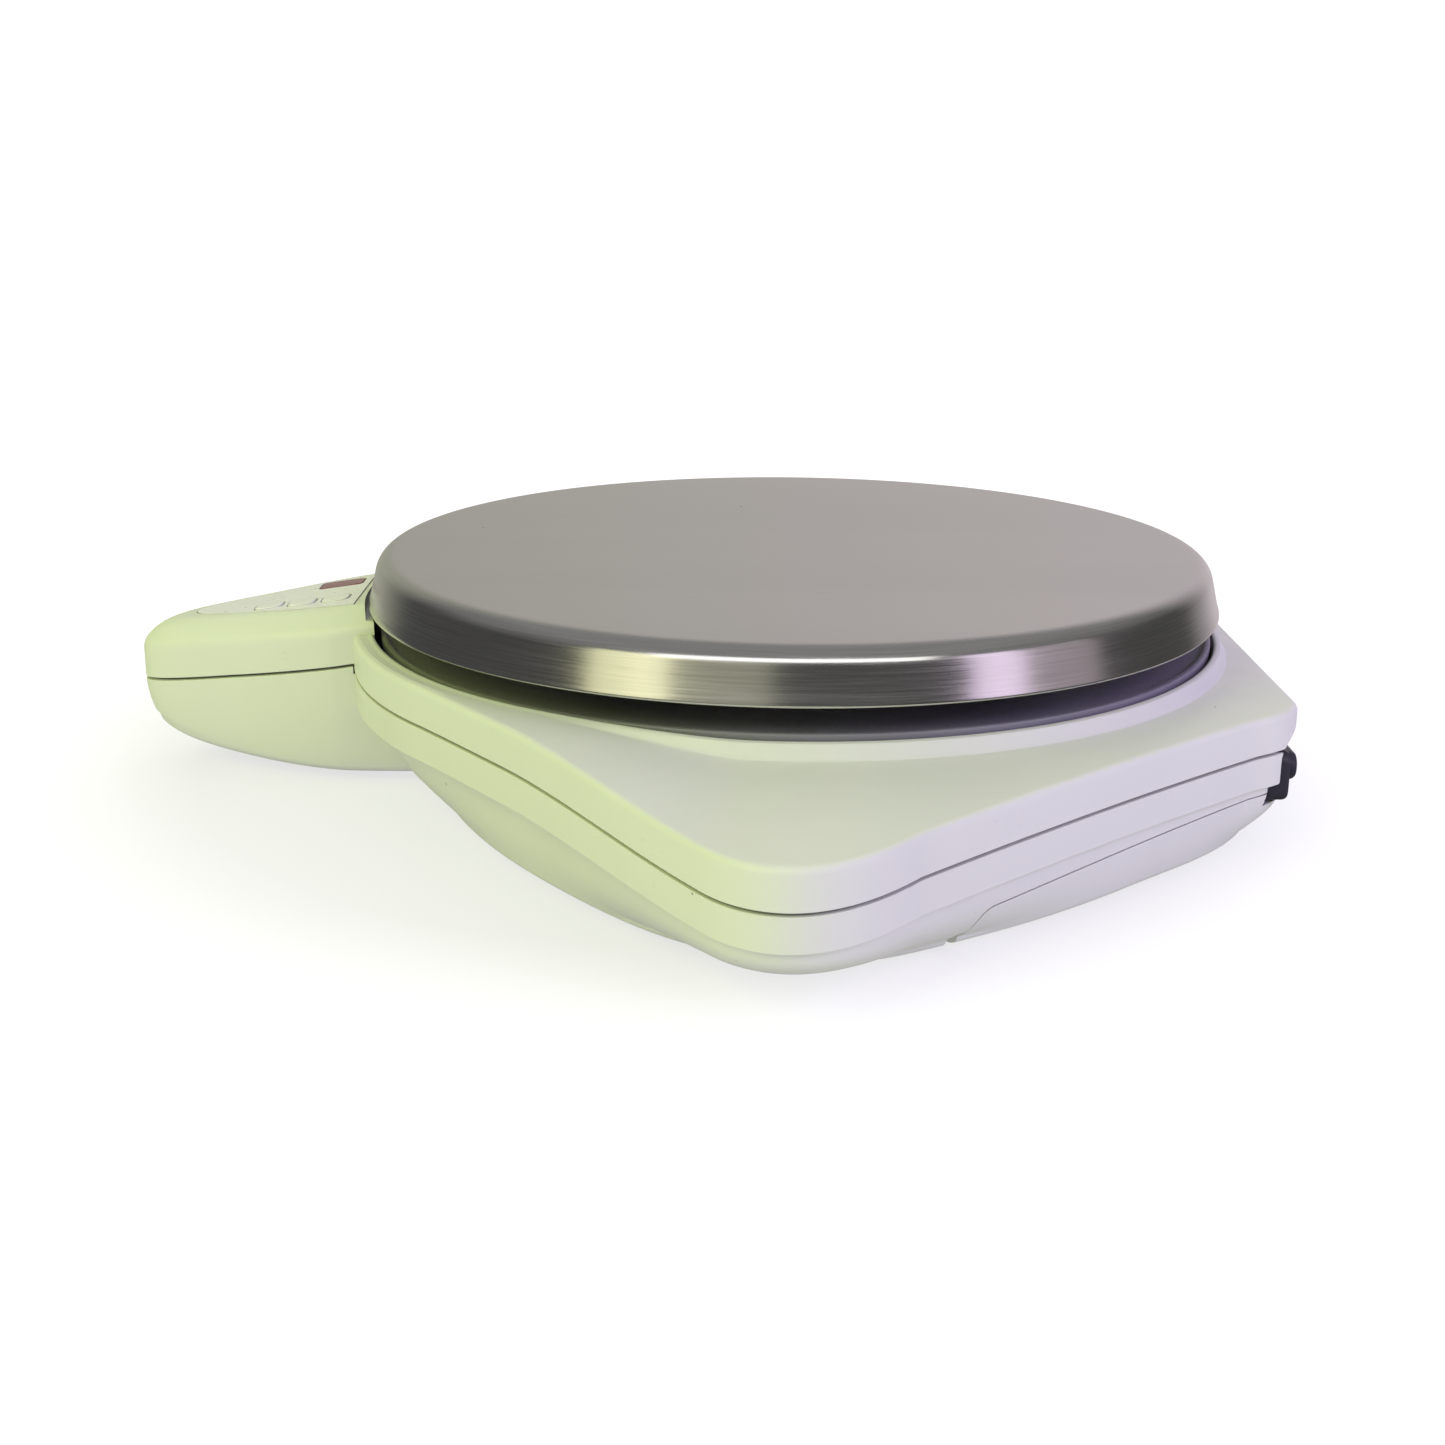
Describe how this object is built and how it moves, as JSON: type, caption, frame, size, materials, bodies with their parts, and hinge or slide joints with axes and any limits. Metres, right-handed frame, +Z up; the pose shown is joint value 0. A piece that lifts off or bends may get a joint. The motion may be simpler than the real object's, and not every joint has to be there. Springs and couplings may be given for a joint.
{
  "type": "digital bench scale",
  "caption": "Compact digital weighing scale: round steel pan on a carrier and load cell, flat winged plastic housing, short console with display and keys.",
  "frame": {"origin": "centre of the overall plan on the floor the feet stand on", "axes": "+X towards the user, who has the console on the left at -Y and the flat end with the socket on the right at +Y, +Z up"},
  "size_m": [0.3148, 0.2638, 0.0536],
  "materials": {
    "shell": "satin off-white moulding",
    "pan_steel": "fine straight brushing",
    "carrier_plastic": "matt grey",
    "rubber": "matt black",
    "plated_steel": "zinc plated",
    "aluminium": "machined",
    "white_coating": "soft white sealant",
    "dark_plastic": "matt",
    "cover_rubber": "satin dark grey",
    "cell_wrap": "printed sleeve over a metal can",
    "contact_metal": "nickel plated",
    "red_cable": "satin insulation",
    "grey_cable": "satin insulation",
    "overlay_film": "semi-gloss printed film",
    "tinted_window": "polished tinted",
    "display_glass": "polished",
    "connector_strip": "matt elastomer",
    "circuit_board": "solder mask",
    "black_plastic": "matt",
    "key_plastic": "satin"
  },
  "bodies": {
    "housing": {"top_housing": "shell", "bottom_housing": "shell", "housing_screw_1": "plated_steel", "housing_screw_2": "plated_steel", "housing_screw_3": "plated_steel", "housing_screw_4": "plated_steel", "foot_1": "rubber", "foot_2": "rubber", "foot_3": "rubber", "foot_4": "rubber", "load_cell": "aluminium", "gauge_coating": "white_coating", "fixed_end_spacer": "aluminium", "base_plate": "plated_steel", "cell_screw_1": "plated_steel", "cell_screw_2": "plated_steel", "plate_screw_1": "plated_steel", "plate_screw_2": "plated_steel", "overload_stop": "plated_steel", "load_cell_cable": "grey_cable", "battery_tray": "dark_plastic", "battery_cell_1": "cell_wrap", "battery_cell_2": "cell_wrap", "battery_cell_3": "cell_wrap", "battery_cell_4": "cell_wrap", "contact_strip_inner": "contact_metal", "contact_strip_outer": "contact_metal", "battery_cable": "red_cable", "dc_socket": "dark_plastic", "keypad_overlay": "overlay_film", "display_window": "tinted_window", "lcd_panel": "display_glass", "lcd_connector": "connector_strip", "main_board": "circuit_board", "controller_chip": "black_plastic", "buzzer": "black_plastic", "switch_inner": "dark_plastic", "switch_middle": "dark_plastic", "switch_outer": "dark_plastic", "board_screw_1": "plated_steel", "board_screw_2": "plated_steel"},
    "carrier": {"pan_carrier": "carrier_plastic", "pan_pad_1": "rubber", "pan_pad_2": "rubber", "pan_pad_3": "rubber", "pan_pad_4": "rubber", "carrier_screw_1": "plated_steel", "carrier_screw_2": "plated_steel", "free_end_spacer": "aluminium"},
    "pan": {"pan": "pan_steel"},
    "key_inner": {"key_inner": "key_plastic"},
    "key_middle": {"key_middle": "key_plastic"},
    "key_outer": {"key_outer": "key_plastic"},
    "battery_door": {"battery_door": "shell"},
    "socket_cover": {"socket_cover": "cover_rubber"}
  },
  "joints": [
    {"name": "carrier_deflect", "type": "slide", "parent": "housing", "child": "carrier", "axis": [0, 0, -1], "range_m": [0, 0.0005], "stiffness_N_per_m": 40000, "springref_m": -0.0001},
    {"name": "pan_lift", "type": "slide", "parent": "carrier", "child": "pan", "axis": [0, 0, 1], "range_m": [0, 0.06]},
    {"name": "key_inner_press", "type": "slide", "parent": "housing", "child": "key_inner", "axis": [0, 0.1454, -0.9894], "range_m": [0, 0.0004], "stiffness_N_per_m": 600},
    {"name": "key_middle_press", "type": "slide", "parent": "housing", "child": "key_middle", "axis": [0, 0.1454, -0.9894], "range_m": [0, 0.0004], "stiffness_N_per_m": 600},
    {"name": "key_outer_press", "type": "slide", "parent": "housing", "child": "key_outer", "axis": [0, 0.1454, -0.9894], "range_m": [0, 0.0004], "stiffness_N_per_m": 600},
    {"name": "door_slide", "type": "slide", "parent": "housing", "child": "battery_door", "axis": [0.7337, 0.6794, 0], "range_m": [0, 0.06]},
    {"name": "cover_pull", "type": "slide", "parent": "housing", "child": "socket_cover", "axis": [0, 1, 0], "range_m": [0, 0.015]}
  ]
}
